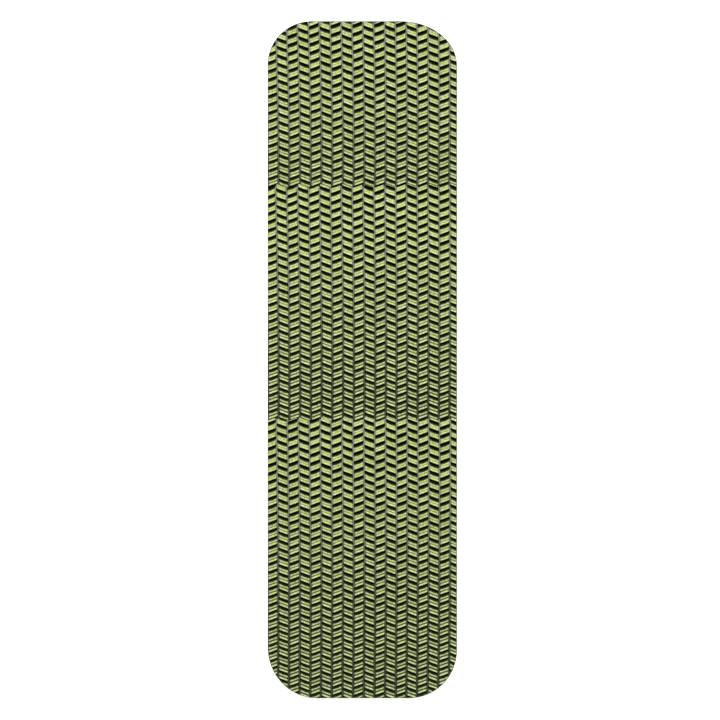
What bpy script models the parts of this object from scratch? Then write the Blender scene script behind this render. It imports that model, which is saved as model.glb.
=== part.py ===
"""A long adhesive-backed foam stomp pad for the top of a snowboard.

Units are metres. Z is up, through the thickness, with the tread on top. Y runs along the
pad and X across it. The origin is at the centre of the pad's outline, on its underside.

From the bottom up: a release liner in two pieces, an adhesive film, a black base foam, a
grey core foam, and a lime tread layer. The tread is laid in three panels, end to end, and
grooves cut down to the core divide each panel into strips that run along the pad.
"""

import math

import bmesh
import bpy

# Outline
LENGTH = 0.338
WIDTH = 0.0945
# Each corner is a quarter of an ellipse: its size across the pad, then along it.
CORNER_RIGHT_TOP = (0.0280, 0.0220)
CORNER_LEFT_TOP = (0.0220, 0.0215)
CORNER_LEFT_BOTTOM = (0.0245, 0.0255)
CORNER_RIGHT_BOTTOM = (0.0240, 0.0240)
CORNER_STEPS = 20

# Thicknesses, and the clearance kept between pieces that are bonded face to face
CLEARANCE = 0.0003
LINER_THICKNESS = 0.0003
FILM_THICKNESS = 0.0004
BASE_THICKNESS = 0.0029
CORE_THICKNESS = 0.0012
TREAD_THICKNESS = 0.0010

# Tread: three panels along the pad, and grooves between the strips across it
SHORT_PANEL = 0.0823
MEDIUM_PANEL = 0.1163
SEAM_GAP = 0.0003
STRIP_PITCH = 0.00537
FIRST_GROOVE_X = -0.0423
GROOVE_COUNT = 17
GROOVE_WIDTH = 0.0012

# Liner: where its slit crosses the pad, and how wide the slit is
SLIT_Y = -0.0560
SLIT_GAP = 0.0003

# Colours are linear red, green and blue.
LIME = (0.56, 0.68, 0.19)
GREY = (0.36, 0.36, 0.37)
BLACK = (0.012, 0.012, 0.013)
MILKY = (0.78, 0.79, 0.74)
PAPER = (0.83, 0.82, 0.78)


def clear_scene():
    for item in list(bpy.data.objects):
        bpy.data.objects.remove(item, do_unlink=True)


def make_material(name, colour, roughness):
    material = bpy.data.materials.new(name)
    material.use_nodes = True
    shader = material.node_tree.nodes["Principled BSDF"]
    shader.inputs["Base Color"].default_value = (*colour, 1.0)
    shader.inputs["Roughness"].default_value = roughness
    shader.inputs["Metallic"].default_value = 0.0
    return material


def corner(size, across, along, first_angle):
    """One rounded corner's points, anticlockwise. across and along are +1 or -1."""
    reach_x, reach_y = size
    centre_x = across * (WIDTH / 2 - reach_x)
    centre_y = along * (LENGTH / 2 - reach_y)
    points = []
    for step in range(CORNER_STEPS + 1):
        angle = first_angle + math.pi / 2 * step / CORNER_STEPS
        x = centre_x + reach_x * math.cos(angle)
        y = centre_y + reach_y * math.sin(angle)
        points.append((x, y))
    return points


def pad_outline():
    """The pad's convex outline, anticlockwise seen from above."""
    return (
        corner(CORNER_RIGHT_TOP, 1, 1, 0.0)
        + corner(CORNER_LEFT_TOP, -1, 1, math.pi / 2)
        + corner(CORNER_LEFT_BOTTOM, -1, -1, math.pi)
        + corner(CORNER_RIGHT_BOTTOM, 1, -1, math.pi * 3 / 2)
    )


def keep_side(points, axis, limit, side):
    """The part of a convex outline on one side of a line across an axis (0 is X, 1 is Y)."""
    kept = []
    for index, point in enumerate(points):
        last = points[index - 1]
        inside = (point[axis] - limit) * side >= 0
        last_inside = (last[axis] - limit) * side >= 0
        if inside != last_inside:
            share = (limit - last[axis]) / (point[axis] - last[axis])
            kept.append(tuple(a + share * (b - a) for a, b in zip(last, point)))
        if inside:
            kept.append(point)
    return kept


def between(points, axis, low, high):
    return keep_side(keep_side(points, axis, low, 1), axis, high, -1)


def make_slab(name, points, bottom, thickness, material, origin=(0.0, 0.0, 0.0)):
    """An outline extruded upwards from a height, with the object's origin where it is asked for."""
    mesh = bpy.data.meshes.new(name)
    form = bmesh.new()
    ox, oy, oz = origin
    corners = [form.verts.new((x - ox, y - oy, bottom - oz)) for x, y in points]
    floor = form.faces.new(corners)
    grown = bmesh.ops.extrude_face_region(form, geom=[floor])
    raised = [item for item in grown["geom"] if isinstance(item, bmesh.types.BMVert)]
    bmesh.ops.translate(form, verts=raised, vec=(0.0, 0.0, thickness))
    bmesh.ops.recalc_face_normals(form, faces=form.faces)
    form.to_mesh(mesh)
    form.free()
    mesh.materials.append(material)
    slab = bpy.data.objects.new(name, mesh)
    slab.location = origin
    bpy.context.scene.collection.objects.link(slab)
    return slab


def make_liner(outline, material):
    """Two pieces that meet at a slit, each with its origin on the line that it peels back about."""
    hinge_z = LINER_THICKNESS
    far = LENGTH
    long_part = between(outline, 1, SLIT_Y + SLIT_GAP / 2, far)
    short_part = between(outline, 1, -far, SLIT_Y - SLIT_GAP / 2)
    top_end = (0.0, LENGTH / 2, hinge_z)
    bottom_end = (0.0, -LENGTH / 2, hinge_z)
    make_slab("release_liner_long", long_part, 0.0, LINER_THICKNESS, material, top_end)
    make_slab("release_liner_short", short_part, 0.0, LINER_THICKNESS, material, bottom_end)


def make_tread(outline, bottom, material):
    """The strips of the three panels. Grooves divide the strips, and seams the panels."""
    top = LENGTH / 2
    first_seam = top - SHORT_PANEL
    second_seam = first_seam - MEDIUM_PANEL
    panels = {
        "short": (first_seam + SEAM_GAP / 2, LENGTH),
        "medium": (second_seam + SEAM_GAP / 2, first_seam - SEAM_GAP / 2),
        "long": (-LENGTH, second_seam - SEAM_GAP / 2),
    }
    grooves = [FIRST_GROOVE_X + STRIP_PITCH * index for index in range(GROOVE_COUNT)]
    left_sides = [-WIDTH] + [x + GROOVE_WIDTH / 2 for x in grooves]
    right_sides = [x - GROOVE_WIDTH / 2 for x in grooves] + [WIDTH]
    for panel, (low, high) in panels.items():
        piece = between(outline, 1, low, high)
        for number, (left, right) in enumerate(zip(left_sides, right_sides), start=1):
            strip = between(piece, 0, left, right)
            name = f"tread_{panel}_strip_{number:02d}"
            make_slab(name, strip, bottom, TREAD_THICKNESS, material)


def main():
    clear_scene()
    outline = pad_outline()

    film_bottom = LINER_THICKNESS + CLEARANCE
    base_bottom = film_bottom + FILM_THICKNESS + CLEARANCE
    core_bottom = base_bottom + BASE_THICKNESS + CLEARANCE
    tread_bottom = core_bottom + CORE_THICKNESS + CLEARANCE

    paper = make_material("liner_paper", PAPER, 0.45)
    adhesive = make_material("adhesive", MILKY, 0.25)
    base_foam = make_material("base_foam", BLACK, 0.85)
    core_foam = make_material("core_foam", GREY, 0.85)
    tread_foam = make_material("tread_foam", LIME, 0.80)

    make_liner(outline, paper)
    make_slab("adhesive_film", outline, film_bottom, FILM_THICKNESS, adhesive)
    make_slab("base_foam", outline, base_bottom, BASE_THICKNESS, base_foam)
    make_slab("core_foam", outline, core_bottom, CORE_THICKNESS, core_foam)
    make_tread(outline, tread_bottom, tread_foam)


main()
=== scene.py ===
"""The looks of a laminated foam stomp pad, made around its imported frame.

Units are metres. The tread's lime ribs stand in a broken herringbone: columns run along the
pad, ribs lean one way in one column and the other way in the next, and each column's ribs sit
half a pitch further on than its neighbour's. Grey webs of the core foam show between the
columns, and slots between the ribs go down to the black base foam.
"""

import math
import random

import bmesh
import bpy
import numpy as np
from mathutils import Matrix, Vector


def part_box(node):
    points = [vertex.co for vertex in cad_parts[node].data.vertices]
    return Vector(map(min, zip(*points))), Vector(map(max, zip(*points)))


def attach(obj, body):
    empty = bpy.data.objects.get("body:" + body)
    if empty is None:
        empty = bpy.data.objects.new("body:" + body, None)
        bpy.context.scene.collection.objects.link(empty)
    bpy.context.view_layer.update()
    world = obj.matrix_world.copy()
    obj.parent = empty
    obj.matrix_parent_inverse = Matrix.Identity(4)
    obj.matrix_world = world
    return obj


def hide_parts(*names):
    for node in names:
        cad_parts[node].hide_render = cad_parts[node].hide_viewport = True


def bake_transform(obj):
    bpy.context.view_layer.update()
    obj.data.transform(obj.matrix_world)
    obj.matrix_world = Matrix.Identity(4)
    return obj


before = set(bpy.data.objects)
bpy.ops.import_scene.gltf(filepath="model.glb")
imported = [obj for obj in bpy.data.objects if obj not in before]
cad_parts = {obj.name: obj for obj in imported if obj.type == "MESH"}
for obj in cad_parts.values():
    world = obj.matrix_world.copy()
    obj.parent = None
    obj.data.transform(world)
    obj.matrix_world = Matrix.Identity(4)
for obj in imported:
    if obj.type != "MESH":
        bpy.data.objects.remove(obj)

MM = 0.001
SEED = 7

# Camera: straight above, and the width of floor that it sees
VIEW_WIDTH = 0.3595
VIEW_CENTRE = (-0.00117, -0.00017)
CAMERA_HEIGHT = 0.9

# Rows of ribs. Distances run from a panel's top end towards its bottom end.
PANELS = ("short", "medium", "long")
FIRST_ROW = {"short": -0.20 * MM, "medium": 1.25 * MM, "long": 2.19 * MM}
ROW_PITCH = {"short": 4.288 * MM, "medium": 4.249 * MM, "long": 4.266 * MM}
ROW_TIGHTENING = {"short": 0.0024 * MM, "medium": 0.0009 * MM, "long": 0.0024 * MM}
# Columns are counted from 0 at the left. The odd ones' rows start this much further down.
STAGGER = 2.05 * MM
# The long panel's rows wander in a slow wave. Its peak and its length are shares of the
# panel's length.
WANDER_MEAN = 0.08 * MM
WANDER_SIZE = 0.11 * MM
WANDER_PEAK = 0.29
WANDER_LENGTH = 0.42
# Across the pad the rows rise to the right and bow. Both fade from row to row.
HALF_SPAN = 47.0 * MM
RISE = 1.10 * MM
RISE_FADE = 0.033 * MM
BOW = 1.18 * MM
BOW_FADE = 0.073 * MM
# Down a panel the columns lean to the right and back, and close in towards the middle. Each
# is a curve's value, slope and bend at the panel's top end.
COLUMN_SHIFT = {
    "short": (-0.48 * MM, 2.25 * MM, -1.57 * MM),
    "medium": (-0.35 * MM, 2.18 * MM, -1.57 * MM),
    "long": (0.01 * MM, 1.48 * MM, -1.57 * MM),
}
COLUMN_SPREAD = (0.55 * MM, -1.48 * MM, 0.56 * MM)
COLUMN_BOW = -0.24 * MM

# Many of the tread's measures change as it opens out, with the distance from a panel's top end.
# Such a pair is the value at that end and the value at the bottom end of the longest panel.

# Ribs: how steeply they cross their column, and how far they stay off the grooves' centres
RIB_SLOPE = 0.36
LEFT_CLEAR = (0.38 * MM, 0.65 * MM)
RIGHT_CLEAR = 0.46 * MM
# How far ribs stray along the pad, in slope and in brightness, and how bright each panel is
ROW_JITTER = 0.03 * MM
SLOPE_RANGE = (0.96, 1.04)
BRIGHTNESS_RANGE = (0.91, 1.04)
PANEL_LIGHT = {"short": 0.97, "medium": 0.98, "long": 0.95}
# How a rib's ends fall away, from left to right: distance in from the end, drop and painted
# shade, then painted highlight and how far the flank rises up the pad. Lengths are in
# millimetres. The left end is a longer bevel with more painted highlight. The middle has no
# distance.
LEFT_END = (
    (0.00, 0.60, 0.62, 1.00, 0.26),
    (0.30, 0.22, 0.82, 0.80, 0.22),
    (0.70, 0.03, 0.94, 0.45, 0.16),
)
RIB_MIDDLE = (0.00, 1.00, 0.00, 0.00)
RIGHT_END = (
    (0.30, 0.03, 0.94, 0.40, 0.20),
    (0.00, 0.40, 0.60, 0.80, 0.26),
)
# A rib's section, from the foot of its upper flank to the foot of its lower wall: distance up
# the pad from the rib's line and height above the floor in millimetres, painted light from 0
# (deep, in painted shade) to 1 (lit crest), and painted highlight. As the tread opens out, the
# flank lies back further and the line along the middle of the rib widens.
SECTION_AT_TOP = (
    (1.66, 5.70, 0.10, 0.0),
    (1.12, 6.72, 0.26, 0.0),
    (0.84, 6.92, 0.74, 0.0),
    (0.54, 6.97, 0.88, 0.0),
    (0.26, 6.90, 0.81, 0.0),
    (0.04, 6.76, 0.60, 0.0),
    (-0.18, 6.90, 0.80, 0.1),
    (-0.58, 7.00, 0.91, 0.4),
    (-0.88, 6.96, 0.84, 0.4),
    (-1.08, 6.78, 0.42, 0.2),
    (-1.12, 5.70, 0.00, 0.0),
)
SECTION_AT_BOTTOM = (
    (2.17, 5.70, 0.14, 0.0),
    (1.66, 6.60, 0.20, 0.0),
    (1.50, 6.80, 0.72, 0.5),
    (1.26, 6.86, 0.80, 0.6),
    (0.92, 6.74, 0.34, 0.2),
    (0.54, 6.45, 0.14, 0.1),
    (0.20, 6.84, 0.46, 0.3),
    (-0.18, 7.00, 0.92, 0.7),
    (-0.55, 6.96, 0.80, 0.7),
    (-0.74, 6.80, 0.34, 0.3),
    (-0.78, 5.70, 0.12, 0.0),
)
# The first points of a section make up the flank.
FLANK_POINTS = 3

# Bars of core foam under the ribs. The flanks run on down through them, and rise up the pad
# towards the webs. A bar is painted in deep shade inside the slots: its painted light is given
# at its foot, at the rib's flank and at the rib's wall.
FLANK_RUN = (0.34 * MM, 0.80 * MM)
BAR_RISE = 0.30 * MM
BAR_FOOT_LIGHT = (0.00, 0.16)
BAR_FLANK_LIGHT = (0.12, 0.17)
BAR_WALL_LIGHT = (0.05, 0.12)

# Webs of core foam between the columns
WEB_HALF_WIDTH = 0.48 * MM
WEB_STEPS_PER_ROW = 6
# A web runs on past its panel's ends before it is cut there.
WEB_OVERRUN = 1.0 * MM
WEB_CREST = (6.60 * MM, 6.20 * MM)
WEB_VALLEY = (6.60 * MM, 6.00 * MM)
# A web's top edges are bevelled, and the bevels carry painted shade.
BEVEL_DROP = 0.35 * MM
BEVEL_WIDTH = 0.10 * MM
BEVEL_SHADE = 0.9
# A web's painted light falls from its first value to its second, into painted shade, where the
# tread has opened between these two shares.
WEB_LIGHT = (0.76, 0.33)
WEB_SHADE_SPAN = (0.10, 0.75)
# A slot lies this far after its rib's line, in rows. Where it ends, the web sways away from it
# and the web's edge is painted in shade. The gain holds both effects along more of the slot's
# end.
SLOT_AFTER_RIB = 0.43
WEB_SWAY = 0.10 * MM
WEB_NOTCH_SHADE = 0.7
WAVE_GAIN = 1.5

# Heights of the flat layers
LINER_TOP = 0.30 * MM
FILM_BOTTOM = 0.32 * MM
BASE_BOTTOM = 1.00 * MM
BASE_TOP = 4.50 * MM
RIB_FOOT = 5.70 * MM
RIB_TOP = 7.00 * MM
FILM_INSET = 0.30 * MM
BASE_BEVEL = 0.15 * MM
# A liner curls over this length from the end that it peels from. It is divided into steps that
# are fine over the curl and coarse along the whole liner.
CURL_LENGTH = 3.0 * MM
CURL_STEPS = 14
LINER_STEPS = 40

# Where the outline cuts the tread: the base shows as a thin rim round it, the cut faces have a
# painted light and a painted highlight of their own, and nothing narrower than a sliver is
# left standing.
RIM = 0.25 * MM
RIB_CAP_LIGHT = 0.80
CORE_CAP_LIGHT = 0.55
CAP_HIGHLIGHT = 0.5
SLIVER = 0.30 * MM
# Lengths below this count as nothing, and points nearer than this to a cut lie on it.
NOTHING = 1e-6
ON_CUT = 1e-7
# Edges that turn by more than this stay sharp.
SHARP_ANGLE = math.radians(40.0)

# Materials: noise scales per metre, and the foams' grain and cells
GRAIN_SCALE = 1300.0
GRAIN_EDGES = (0.40, 0.62)
CELL_SCALE = 5200.0
CELL_DEPTH = 0.05 * MM
CELL_STRENGTH = 0.6
GLOSS_SCALE = 1600.0
FOAM_SPECULAR = 0.02

# Studio
FLOOR_REACH = 4.0
FLOOR_GLOW = 0.35
KEY_PLACE = (0.0, 1.5, 2.6)
KEY_SIZE = 2.2
KEY_WATTS = 62.0

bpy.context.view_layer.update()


# ---- Where things go, read from the frame ----


def read_outline(node):
    """The pad's convex outline, anticlockwise from above."""
    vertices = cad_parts[node].data.vertices
    points = {(round(v.co.x, 6), round(v.co.y, 6)) for v in vertices}
    return sorted(points, key=lambda p: math.atan2(p[1], p[0]))


def strip_node(panel, number):
    return f"tread_{panel}_strip_{number:02d}"


def count_strips():
    return sum(name.startswith("tread_short_strip_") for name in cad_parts)


def read_grooves():
    """The X of each groove's centre line, and of one more beyond the last at each side."""
    grooves = []
    for number in range(1, count_strips()):
        right_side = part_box(strip_node("medium", number))[1].x
        next_left_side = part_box(strip_node("medium", number + 1))[0].x
        grooves.append((right_side + next_left_side) / 2)
    pitch = (grooves[-1] - grooves[0]) / (len(grooves) - 1)
    return [grooves[0] - pitch, *grooves, grooves[-1] + pitch]


def read_panel(panel):
    """The Y of a panel's bottom and top ends."""
    low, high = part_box(strip_node(panel, count_strips() // 2))
    return low.y, high.y


def read_limits():
    """Each panel's bottom and top ends. Neighbours meet in the middle of their seam."""
    limits = {panel: read_panel(panel) for panel in PANELS}
    for upper, lower in zip(PANELS, PANELS[1:]):
        seam = (limits[upper][0] + limits[lower][1]) / 2
        limits[upper] = (seam, limits[upper][1])
        limits[lower] = (limits[lower][0], seam)
    return limits


OUTLINE = read_outline("base_foam")
GROOVES = read_grooves()
LIMITS = read_limits()
LONGEST = max(high - low for low, high in LIMITS.values())


def share_down(panel, y):
    """How far down its panel a Y lies, from 0 at the top end to 1 at the bottom end."""
    low, high = LIMITS[panel]
    return min(1.0, max(0.0, (high - y) / (high - low)))


def opening(panel, share):
    """How far the tread has opened out: 0 at a panel's top end, 1 down the longest panel."""
    low, high = LIMITS[panel]
    return share * (high - low) / LONGEST


def soft_step(low, high, value):
    """Rises smoothly from 0 at low to 1 at high."""
    share = min(1.0, max(0.0, (value - low) / (high - low)))
    return share * share * (3 - 2 * share)


def between(pair, share):
    """The value some share of the way from a pair's first to its second."""
    first, second = pair
    return first + share * (second - first)


def curve(terms, share):
    value, slope, bend = terms
    return value + slope * share + bend * share * share


def groove_x(panel, index, share):
    """The X of a groove's centre line, some share of the way down a panel."""
    across = GROOVES[index] / HALF_SPAN
    shift = curve(COLUMN_SHIFT[panel], share) + COLUMN_BOW * across * across
    return GROOVES[index] + shift + curve(COLUMN_SPREAD, share) * across


def wander(panel, y):
    """How far towards the panel's bottom end its rows stray at a Y."""
    if panel != "long":
        return 0.0
    turns = (share_down(panel, y) - WANDER_PEAK) / WANDER_LENGTH
    return WANDER_MEAN + WANDER_SIZE * math.cos(2 * math.pi * turns)


def column_middle(column):
    """The X halfway between the grooves at a column's sides."""
    return (GROOVES[column] + GROOVES[column + 1]) / 2


def row_rule(panel, column):
    """A column's start, step and tightening.

    Row k lies start + step * k - tightening * k * k down the panel.
    """
    across = column_middle(column) / HALF_SPAN
    start = FIRST_ROW[panel] - RISE * across + BOW * across * across
    if column % 2 == 1:
        start += STAGGER
    step = ROW_PITCH[panel] + RISE_FADE * across - BOW_FADE * across * across
    return start, step, ROW_TIGHTENING[panel]


def row_y(panel, column, row):
    """The Y of a row's line in the middle of its column."""
    start, step, tightening = row_rule(panel, column)
    y = LIMITS[panel][1] - (start + step * row - tightening * row * row)
    return y - wander(panel, y)


def row_at(panel, column, y):
    """The row number, with its fraction, that a column has at a Y."""
    start, step, tightening = row_rule(panel, column)
    down = LIMITS[panel][1] - y - wander(panel, y) - start
    root = math.sqrt(step * step - 4 * tightening * down)
    return (step - root) / (2 * tightening)


def slope_of(column):
    """Ribs rise to the right in one column and fall to the right in the next."""
    return -RIB_SLOPE if column % 2 == 1 else RIB_SLOPE


# ---- Closed forms, and cutting them to the outline ----


class Form:
    """Points with their painted light and painted highlight, the faces between them, and which
    are cuts.
    """

    def __init__(self):
        self.points = []
        self.painted_lights = []
        self.painted_highlights = []
        self.faces = []
        self.caps = []

    def add(self, other):
        start = len(self.points)
        self.points += other.points
        self.painted_lights += other.painted_lights
        self.painted_highlights += other.painted_highlights
        self.faces += [[start + corner for corner in face] for face in other.faces]
        self.caps += other.caps


def loft(rings, painted_lights=None, painted_highlights=None):
    """A closed form through rings of points, with a flat face at each end.

    Painted light and painted highlight come as one list for each ring, and are 0 where they
    aren't given.
    """
    form = Form()
    size = len(rings[0])
    zeros = [[0.0] * size] * len(rings)
    for ring, ring_lights, ring_pales in zip(rings, painted_lights or zeros, painted_highlights or zeros):
        form.points += ring
        form.painted_lights += ring_lights
        form.painted_highlights += ring_pales
    last = size * (len(rings) - 1)
    for here in range(0, last, size):
        there = here + size
        for place in range(size):
            after = (place + 1) % size
            form.faces.append([here + place, here + after, there + after, there + place])
    form.faces.append(list(reversed(range(size))))
    form.faces.append([last + place for place in range(size)])
    form.caps = [0] * len(form.faces)
    return form


def outline_planes():
    """Each side of the outline as a point on it and its outward direction."""
    planes = []
    for index, (x, y) in enumerate(OUTLINE):
        before_x, before_y = OUTLINE[index - 1]
        along = Vector((x - before_x, y - before_y, 0.0))
        if along.length > NOTHING:
            outward = Vector((along.y, -along.x, 0.0)).normalized()
            planes.append((Vector((x, y, 0.0)) - outward * RIM, outward))
    return planes


PLANES = outline_planes()
PLANE_NORMALS = np.array([normal.to_tuple() for _, normal in PLANES])
PLANE_REACH = np.array([point.dot(normal) for point, normal in PLANES])


def end_planes(panel, slope=0.0, middle=0.0):
    """A panel's two ends as planes. A column's ends are cut in line with its ribs."""
    low, high = LIMITS[panel]
    up = Vector((-slope, 1.0, 0.0)).normalized()
    return [(Vector((middle, high, 0.0)), up), (Vector((middle, low, 0.0)), -up)]


def fit_inside(form, ends):
    """The part of a form inside the outline and its panel's ends, or None if it's a sliver."""
    end_normals = np.array([normal.to_tuple() for _, normal in ends])
    end_reach = np.array([point.dot(normal) for point, normal in ends])
    normals = np.vstack([PLANE_NORMALS, end_normals])
    reach = np.concatenate([PLANE_REACH, end_reach])
    beyond = np.array(form.points) @ normals.T - reach
    if (beyond.min(axis=0) > -SLIVER).any():
        return None
    crossed = np.nonzero(beyond.max(axis=0) > NOTHING)[0]
    if not len(crossed):
        return form
    planes = [(*plane, 1) for plane in PLANES] + [(*plane, 0) for plane in ends]
    return cut(form, [planes[index] for index in crossed])


def bisect(work, point, normal, clear_outer):
    """Divides a mesh along a plane, and gives the edges on the plane."""
    everything = work.verts[:] + work.edges[:] + work.faces[:]
    found = bmesh.ops.bisect_plane(
        work, geom=everything, dist=ON_CUT, plane_co=point, plane_no=normal,
        clear_outer=clear_outer,
    )
    return [item for item in found["geom_cut"] if isinstance(item, bmesh.types.BMEdge)]


def cut(form, planes):
    """A form less what lies outside some planes, each a point, a direction and a cap mark."""
    work = bmesh.new()
    painted_light = work.verts.layers.float.new("painted_light")
    painted_highlight = work.verts.layers.float.new("painted_highlight")
    cap = work.faces.layers.int.new("cap")
    made = []
    for point, point_light, point_highlight in zip(form.points, form.painted_lights, form.painted_highlights):
        vertex = work.verts.new(point)
        vertex[painted_light] = point_light
        vertex[painted_highlight] = point_highlight
        made.append(vertex)
    for face in form.faces:
        work.faces.new([made[corner] for corner in face])
    for point, normal, mark in planes:
        rim = bisect(work, point, normal, clear_outer=True)
        if rim:
            for face in bmesh.ops.edgeloop_fill(work, edges=rim)["faces"]:
                face[cap] = mark
    if not work.faces:
        work.free()
        return None
    bmesh.ops.recalc_face_normals(work, faces=work.faces)
    result = Form()
    work.verts.index_update()
    for vertex in work.verts:
        result.points.append(tuple(vertex.co))
        result.painted_lights.append(vertex[painted_light])
        result.painted_highlights.append(vertex[painted_highlight])
    result.faces = [[vertex.index for vertex in face.verts] for face in work.faces]
    result.caps = [face[cap] for face in work.faces]
    work.free()
    spread = np.ptp(np.array(result.points), axis=0)
    return result if spread.min() > SLIVER else None


def link_object(name, data):
    thing = bpy.data.objects.new(name, data)
    bpy.context.scene.collection.objects.link(thing)
    return thing


def make_piece(name, form, material, cap_light=0.0):
    """A mesh object. Where the outline cuts it, the cut faces have a painted light and
    highlight of their own.
    """
    mesh = bpy.data.meshes.new(name)
    mesh.from_pydata(form.points, [], form.faces)
    painted_lights, painted_highlights = [], []
    for face, is_cap in zip(form.faces, form.caps):
        painted_lights += [cap_light if is_cap else form.painted_lights[corner] for corner in face]
        painted_highlights += [CAP_HIGHLIGHT if is_cap else form.painted_highlights[corner] for corner in face]
    for label, values in (("painted_light", painted_lights), ("painted_highlight", painted_highlights)):
        layer = mesh.attributes.new(label, "FLOAT", "CORNER")
        layer.data.foreach_set("value", values)
    mesh.shade_smooth()
    mesh.set_sharp_from_angle(angle=SHARP_ANGLE)
    mesh.materials.append(material)
    return link_object(name, mesh)


# ---- Tread ----


def section_at(opened):
    """A rib's section in metres, once the tread has opened out by a share."""
    share = soft_step(0.0, 1.0, opened)
    section = []
    for top, bottom in zip(SECTION_AT_TOP, SECTION_AT_BOTTOM):
        offset, height, painted_light, painted_highlight = (between(pair, share) for pair in zip(top, bottom))
        section.append((offset * MM, height * MM, painted_light, painted_highlight))
    return section


def make_rib(panel, column, row, chance):
    """One rib across its column. Its ends round off towards the grooves."""
    y = row_y(panel, column, row) + chance.uniform(-ROW_JITTER, ROW_JITTER)
    share = share_down(panel, y)
    opened = opening(panel, share)
    left = groove_x(panel, column, share) + between(LEFT_CLEAR, opened)
    right = groove_x(panel, column + 1, share) - RIGHT_CLEAR
    middle = (left + right) / 2
    slope = slope_of(column) * chance.uniform(*SLOPE_RANGE)
    brightness = chance.uniform(*BRIGHTNESS_RANGE) * PANEL_LIGHT[panel]
    section = section_at(opened)
    left_end = [(left + inward * MM, *rest) for inward, *rest in LEFT_END]
    right_end = [(right - inward * MM, *rest) for inward, *rest in RIGHT_END]
    rings, painted_lights, painted_highlights = [], [], []
    for x, drop, shade, ring_highlight, rise in [*left_end, (middle, *RIB_MIDDLE), *right_end]:
        ring = []
        for place, (offset, height, _, _) in enumerate(section):
            lowered = height - drop * MM * (height - RIB_FOOT) / (RIB_TOP - RIB_FOOT)
            up = offset + (rise * MM if place < FLANK_POINTS else 0.0)
            ring.append((x, y + slope * (x - middle) + up, lowered))
        rings.append(ring)
        # Painted light: the section's painted light and shade, times each end's painted shade
        # and the rib's random brightness.
        painted_lights.append([painted_light * shade * brightness for _, _, painted_light, _ in section])
        painted_highlights.append([between((ring_highlight, 1.0), painted_highlight) for _, _, _, painted_highlight in section])
    return loft(rings, painted_lights, painted_highlights)


def rows_of(panel, column):
    """The row numbers whose ribs can reach into a panel."""
    low, high = LIMITS[panel]
    first = math.floor(row_at(panel, column, high)) - 1
    last = math.ceil(row_at(panel, column, low)) + 2
    return range(first, last)


def column_ends(panel, column):
    return end_planes(panel, slope_of(column), column_middle(column))


def make_tread(material, chance):
    pieces = []
    for panel in PANELS:
        for column in range(count_strips()):
            strip = Form()
            ends = column_ends(panel, column)
            for row in rows_of(panel, column):
                rib = fit_inside(make_rib(panel, column, row, chance), ends)
                if rib:
                    strip.add(rib)
            number = column + 1
            piece = make_piece(f"ribs_{panel}_{number:02d}", strip, material, RIB_CAP_LIGHT)
            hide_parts(strip_node(panel, number))
            pieces.append(piece)
    return pieces


# ---- Core ----


def make_web(panel, groove):
    """The web along one groove. It sways away from the slots that end at its sides in turn."""
    low, high = LIMITS[panel]
    steps = math.ceil((high - low) / ROW_PITCH[panel] * WEB_STEPS_PER_ROW)
    rings, painted_lights = [], []
    for step in range(steps + 1):
        y = high + WEB_OVERRUN - (high - low + 2 * WEB_OVERRUN) * step / steps
        share = share_down(panel, y)
        wave = web_wave(panel, groove, y)
        x = groove_x(panel, groove, share) + WEB_SWAY * wave
        opened = opening(panel, share)
        crest = between(WEB_CREST, opened)
        shoulder = crest - BEVEL_DROP
        edge = WEB_HALF_WIDTH - BEVEL_WIDTH
        rings.append([
            (x - WEB_HALF_WIDTH, y, BASE_TOP),
            (x - WEB_HALF_WIDTH, y, shoulder),
            (x - edge, y, crest),
            (x, y, between(WEB_VALLEY, opened)),
            (x + edge, y, crest),
            (x + WEB_HALF_WIDTH, y, shoulder),
            (x + WEB_HALF_WIDTH, y, BASE_TOP),
        ])
        # Painted light on the web: painted shade deepens down the panel, at the bevels and
        # beside slot ends.
        light = between(WEB_LIGHT, soft_step(*WEB_SHADE_SPAN, opened))
        left = light * (1.0 - WEB_NOTCH_SHADE * max(0.0, wave))
        right = light * (1.0 - WEB_NOTCH_SHADE * max(0.0, -wave))
        painted_lights.append([0.0, BEVEL_SHADE * left, left, light, right, BEVEL_SHADE * right, 0.0])
    return loft(rings, painted_lights)


def web_wave(panel, groove, y):
    """Runs from 1 beside a slot's end on the left to -1 beside one on the right."""
    wave = 0.0
    for column, side in ((groove - 1, 1.0), (groove, -1.0)):
        across = GROOVES[groove] - column_middle(column)
        row = row_at(panel, column, y - slope_of(column) * across)
        wave += side * math.cos(2 * math.pi * (row - SLOT_AFTER_RIB)) / 2
    return max(-1.0, min(1.0, WAVE_GAIN * wave))


def make_bar(panel, column, row):
    """The core foam that a rib stands on. It runs into the webs at its ends."""
    y = row_y(panel, column, row)
    share = share_down(panel, y)
    left = groove_x(panel, column, share)
    right = groove_x(panel, column + 1, share)
    opened = opening(panel, share)
    section = section_at(opened)
    upper, lower = section[0][0], section[-1][0]
    run = between(FLANK_RUN, opened)
    slope = slope_of(column)
    middle = (left + right) / 2
    rings = []
    for x, rise in ((left, BAR_RISE), (middle, 0.0), (right, BAR_RISE)):
        line = y + slope * (x - middle)
        rings.append([
            (x, line + upper + rise + run, BASE_TOP),
            (x, line + upper + rise, RIB_FOOT),
            (x, line + lower, RIB_FOOT),
            (x, line + lower, BASE_TOP),
        ])
    # Painted shade: the bar's grey foam goes near black down in the slots.
    bar_lights = (BAR_FOOT_LIGHT, BAR_FLANK_LIGHT, BAR_WALL_LIGHT, BAR_FOOT_LIGHT)
    return loft(rings, [[between(pair, opened) for pair in bar_lights]] * len(rings))


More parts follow.
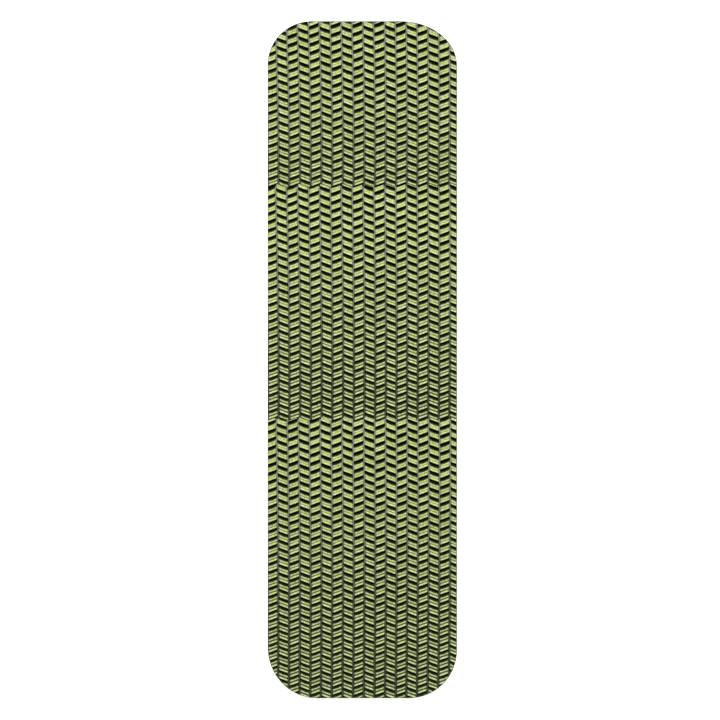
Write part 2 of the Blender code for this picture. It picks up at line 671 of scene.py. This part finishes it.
def make_core(material):
    """The core foam that the slots leave: webs between the columns and bars under the ribs."""
    core = Form()
    for panel in PANELS:
        for groove in range(1, len(GROOVES) - 1):
            web = fit_inside(make_web(panel, groove), end_planes(panel))
            if web:
                core.add(web)
        for column in range(len(GROOVES) - 1):
            for row in rows_of(panel, column):
                bar = fit_inside(make_bar(panel, column, row), column_ends(panel, column))
                if bar:
                    core.add(bar)
    piece = make_piece("core_webs", core, material, CORE_CAP_LIGHT)
    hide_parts("core_foam")
    return piece


# ---- Flat layers ----


def inset_outline(distance):
    """The outline moved inwards."""
    points = []
    for index, point in enumerate(OUTLINE):
        before = Vector(OUTLINE[index - 1])
        after = Vector(OUTLINE[(index + 1) % len(OUTLINE)])
        along = (after - before).normalized()
        inward = Vector((-along.y, along.x))
        points.append(Vector(point) + inward * distance)
    return points


def make_layer(name, levels, material, node):
    """A flat layer through the outline at several levels, each a height and an inset."""
    rings = [[(p.x, p.y, height) for p in inset_outline(inset)] for height, inset in levels]
    piece = make_piece(name, loft(rings), material)
    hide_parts(node)
    return piece


def make_base(material):
    levels = (
        (BASE_BOTTOM, BASE_BEVEL),
        (BASE_BOTTOM + BASE_BEVEL, 0.0),
        (BASE_TOP - BASE_BEVEL, 0.0),
        (BASE_TOP, BASE_BEVEL),
    )
    return make_layer("base_layer", levels, material, "base_foam")


def make_film(material):
    levels = ((FILM_BOTTOM, FILM_INSET), (BASE_BOTTOM, FILM_INSET))
    return make_layer("adhesive_layer", levels, material, "adhesive_film")


def find_hinge(low, high):
    """The Y of the end that a liner peels from, and the direction from it along the liner."""
    return (high, -1.0) if high > -low else (low, 1.0)


def liner_lines(low, high):
    """Where a liner is divided: finely over its curl, and coarsely elsewhere."""
    hinge, direction = find_hinge(low, high)
    coarse = [low + (high - low) * step / LINER_STEPS for step in range(1, LINER_STEPS)]
    curl = direction * CURL_LENGTH
    fine = [hinge + curl * step / CURL_STEPS for step in range(1, CURL_STEPS + 1)]
    return sorted(coarse + fine)


def thicken(sheet, height):
    """The points and faces of a flat sheet that faces up, closed into a solid."""
    sheet.verts.index_update()
    size = len(sheet.verts)
    points = [(*vertex.co.xy, level) for level in (0.0, height) for vertex in sheet.verts]
    faces = []
    for face in sheet.faces:
        corners = [vertex.index for vertex in face.verts]
        faces.append(list(reversed(corners)))
        faces.append([size + corner for corner in corners])
    for edge in sheet.edges:
        if edge.is_boundary:
            loop = edge.link_loops[0]
            here, there = loop.vert.index, loop.link_loop_next.vert.index
            faces.append([here, there, size + there, size + here])
    return points, faces


def make_liner(name, node, material):
    """One piece of liner, divided along the pad so that it can curl where it peels."""
    low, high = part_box(node)
    sheet = bmesh.new()
    corners = [sheet.verts.new((x, y, 0.0)) for x, y in OUTLINE]
    sheet.faces.new(corners)
    for y, outward in ((low.y, -1.0), (high.y, 1.0)):
        bisect(sheet, (0, y, 0), (0, outward, 0), clear_outer=True)
    for y in liner_lines(low.y, high.y):
        bisect(sheet, (0, y, 0), (0, 1, 0), clear_outer=False)
    points, faces = thicken(sheet, LINER_TOP)
    sheet.free()
    mesh = bpy.data.meshes.new(name)
    mesh.from_pydata(points, [], faces)
    mesh.materials.append(material)
    piece = link_object(name, mesh)
    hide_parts(node)
    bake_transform(piece)


# ---- Materials ----


class Nodes:
    """A short way to add and join a material's nodes."""

    def __init__(self, name):
        self.material = bpy.data.materials.new(name)
        self.material.use_nodes = True
        self.tree = self.material.node_tree
        self.shader = self.tree.nodes["Principled BSDF"]

    def add(self, kind, **settings):
        node = self.tree.nodes.new(kind)
        for key, value in settings.items():
            setattr(node, key, value)
        return node

    def join(self, source, target):
        self.tree.links.new(source, target)

    def place(self):
        return self.add("ShaderNodeTexCoord").outputs["Object"]

    def attribute(self, name):
        return self.add("ShaderNodeAttribute", attribute_name=name).outputs["Fac"]

    def noise(self, place, scale, detail=3.0, roughness=0.6):
        node = self.add("ShaderNodeTexNoise")
        self.join(place, node.inputs["Vector"])
        node.inputs["Scale"].default_value = scale
        node.inputs["Detail"].default_value = detail
        node.inputs["Roughness"].default_value = roughness
        return node.outputs["Fac"]

    def ramp(self, value, stops):
        node = self.add("ShaderNodeValToRGB")
        self.join(value, node.inputs["Fac"])
        elements = node.color_ramp.elements
        while len(elements) < len(stops):
            elements.new(0.5)
        for element, (position, colour) in zip(elements, stops):
            element.position = position
            element.color = (*colour, 1.0)
        return node.outputs["Color"]

    def mix(self, share, a, b, blend="MIX"):
        """Mixes two colours. share, a and b are each a socket or a value."""
        node = self.add("ShaderNodeMix", data_type="RGBA", blend_type=blend)
        for index, value in ((0, share), (6, a), (7, b)):
            if isinstance(value, bpy.types.NodeSocket):
                self.join(value, node.inputs[index])
            else:
                node.inputs[index].default_value = value
        return node.outputs[2]

    def map(self, value, low, high):
        """Maps 0 to 1 onto low to high."""
        node = self.add("ShaderNodeMapRange")
        self.join(value, node.inputs["Value"])
        node.inputs["To Min"].default_value = low
        node.inputs["To Max"].default_value = high
        return node.outputs["Result"]

    def bump(self, height, distance, strength):
        node = self.add("ShaderNodeBump")
        self.join(height, node.inputs["Height"])
        node.inputs["Distance"].default_value = distance
        node.inputs["Strength"].default_value = strength
        self.join(node.outputs["Normal"], self.shader.inputs["Normal"])

    def dull(self, level):
        """Cuts the shine that every surface has face on, as open foam does."""
        self.shader.inputs["Specular IOR Level"].default_value = level

    def finish(self, colour, roughness):
        self.join(colour, self.shader.inputs["Base Color"])
        self.join(roughness, self.shader.inputs["Roughness"])
        return self.material


def finish_foam(nodes, place, colour, darkest, gloss):
    """Mottles a foam's colour down to a darker shade, and raises its cells as bump."""
    dark_end, light_end = GRAIN_EDGES
    grain = nodes.noise(place, GRAIN_SCALE)
    patches = nodes.ramp(grain, ((dark_end, darkest), (light_end, (1.0, 1.0, 1.0))))
    mottled = nodes.mix(1.0, colour, patches, "MULTIPLY")
    nodes.dull(FOAM_SPECULAR)
    cells = nodes.noise(place, CELL_SCALE, 2.0, 0.5)
    nodes.bump(cells, CELL_DEPTH, CELL_STRENGTH)
    roughness = nodes.map(nodes.noise(place, GLOSS_SCALE), *gloss)
    return nodes.finish(mottled, roughness)


def lime_foam():
    nodes = Nodes("lime_eva_foam")
    place = nodes.place()
    # Painted light and shade: deep walls and slots are painted near-black olive, lit crests
    # bright lime.
    body = nodes.ramp(nodes.attribute("painted_light"), (
        (0.00, (0.003, 0.005, 0.0001)),
        (0.12, (0.026, 0.045, 0.0004)),
        (0.30, (0.074, 0.108, 0.004)),
        (0.60, (0.325, 0.390, 0.086)),
        (0.86, (0.620, 0.710, 0.245)),
        (1.00, (0.700, 0.790, 0.285)),
    ))
    # Painted highlight: a paler, creamier lime where crests and rib ends catch the light.
    painted_highlight = nodes.ramp(nodes.attribute("painted_light"), (
        (0.00, (0.003, 0.005, 0.0001)),
        (0.30, (0.120, 0.135, 0.070)),
        (0.55, (0.420, 0.460, 0.320)),
        (0.86, (0.650, 0.720, 0.510)),
        (1.00, (0.730, 0.800, 0.580)),
    ))
    # Mixes towards the painted highlight colour as far as each point's painted highlight
    # reaches.
    colour = nodes.mix(nodes.attribute("painted_highlight"), body, painted_highlight)
    return finish_foam(nodes, place, colour, (0.53, 0.55, 0.41), (0.66, 0.86))


def grey_foam():
    nodes = Nodes("grey_eva_foam")
    place = nodes.place()
    # Painted light and shade: the core is painted near black deep in the slots and grey on the
    # lit webs.
    body = nodes.ramp(nodes.attribute("painted_light"), (
        (0.00, (0.003, 0.005, 0.0001)),
        (0.14, (0.021, 0.033, 0.001)),
        (0.30, (0.055, 0.067, 0.039)),
        (0.50, (0.118, 0.137, 0.089)),
        (1.00, (0.330, 0.352, 0.230)),
    ))
    return finish_foam(nodes, place, body, (0.66, 0.67, 0.66), (0.70, 0.90))


def black_foam():
    nodes = Nodes("black_eva_foam")
    place = nodes.place()
    body = nodes.ramp(nodes.noise(place, 900.0), (
        (0.0, (0.001, 0.004, 0.0001)),
        (1.0, (0.005, 0.010, 0.0005)),
    ))
    return finish_foam(nodes, place, body, (0.60, 0.60, 0.60), (0.78, 0.95))


def liner_paper():
    nodes = Nodes("release_liner_paper")
    place = nodes.place()
    body = nodes.ramp(nodes.noise(place, 350.0, 6.0, 0.7), (
        (0.3, (0.74, 0.72, 0.66)),
        (0.7, (0.84, 0.83, 0.79)),
    ))
    roughness = nodes.map(nodes.noise(place, 900.0), 0.32, 0.52)
    nodes.bump(nodes.noise(place, 2500.0, 4.0), 0.01 * MM, 0.5)
    return nodes.finish(body, roughness)


def adhesive():
    nodes = Nodes("acrylic_adhesive")
    place = nodes.place()
    body = nodes.ramp(nodes.noise(place, 260.0, 4.0), (
        (0.3, (0.60, 0.61, 0.56)),
        (0.7, (0.72, 0.73, 0.68)),
    ))
    roughness = nodes.map(nodes.noise(place, 500.0), 0.18, 0.38)
    nodes.bump(nodes.noise(place, 1200.0), 0.02 * MM, 0.5)
    return nodes.finish(body, roughness)


# ---- Studio ----


def make_camera():
    camera = link_object("camera", bpy.data.cameras.new("camera"))
    camera.data.type = "ORTHO"
    camera.data.ortho_scale = VIEW_WIDTH
    camera.location = (*VIEW_CENTRE, CAMERA_HEIGHT)
    bpy.context.scene.camera = camera


def make_area_light(name, place, size, watts):
    """A square light that faces the pad."""
    light = bpy.data.lights.new(name, "AREA")
    light.shape = "SQUARE"
    light.size = size
    light.energy = watts
    lamp = link_object(name, light)
    lamp.location = place
    lamp.rotation_euler = (-Vector(place)).to_track_quat("-Z", "Y").to_euler()


def make_studio():
    """A pale floor that glows a little, an even sky and a broad key light at the top."""
    nodes = Nodes("studio_floor")
    nodes.shader.inputs["Base Color"].default_value = (0.92, 0.92, 0.92, 1.0)
    nodes.shader.inputs["Emission Color"].default_value = (1.0, 1.0, 1.0, 1.0)
    nodes.shader.inputs["Emission Strength"].default_value = FLOOR_GLOW
    nodes.shader.inputs["Roughness"].default_value = 0.9
    mesh = bpy.data.meshes.new("floor")
    signs = ((-1, -1), (1, -1), (1, 1), (-1, 1))
    corners = [(x * FLOOR_REACH, y * FLOOR_REACH, 0) for x, y in signs]
    mesh.from_pydata(corners, [], [(0, 1, 2, 3)])
    mesh.materials.append(nodes.material)
    floor = link_object("floor", mesh)

    world = bpy.data.worlds.new("studio")
    world.use_nodes = True
    sky = world.node_tree.nodes["Background"]
    sky.inputs["Color"].default_value = (1.0, 1.0, 1.0, 1.0)
    sky.inputs["Strength"].default_value = 1.0
    bpy.context.scene.world = world

    make_area_light("key", KEY_PLACE, KEY_SIZE, KEY_WATTS)
    bpy.context.scene.view_settings.view_transform = "Standard"


# ---- Assembly ----


def main():
    chance = random.Random(SEED)
    make_camera()
    make_studio()
    ribs = make_tread(lime_foam(), chance)
    core = make_core(grey_foam())
    base = make_base(black_foam())
    film = make_film(adhesive())
    paper = liner_paper()
    make_liner("liner_long_sheet", "release_liner_long", paper)
    make_liner("liner_short_sheet", "release_liner_short", paper)
    for piece in [*ribs, core, base, film]:
        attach(piece, "pad")


main()
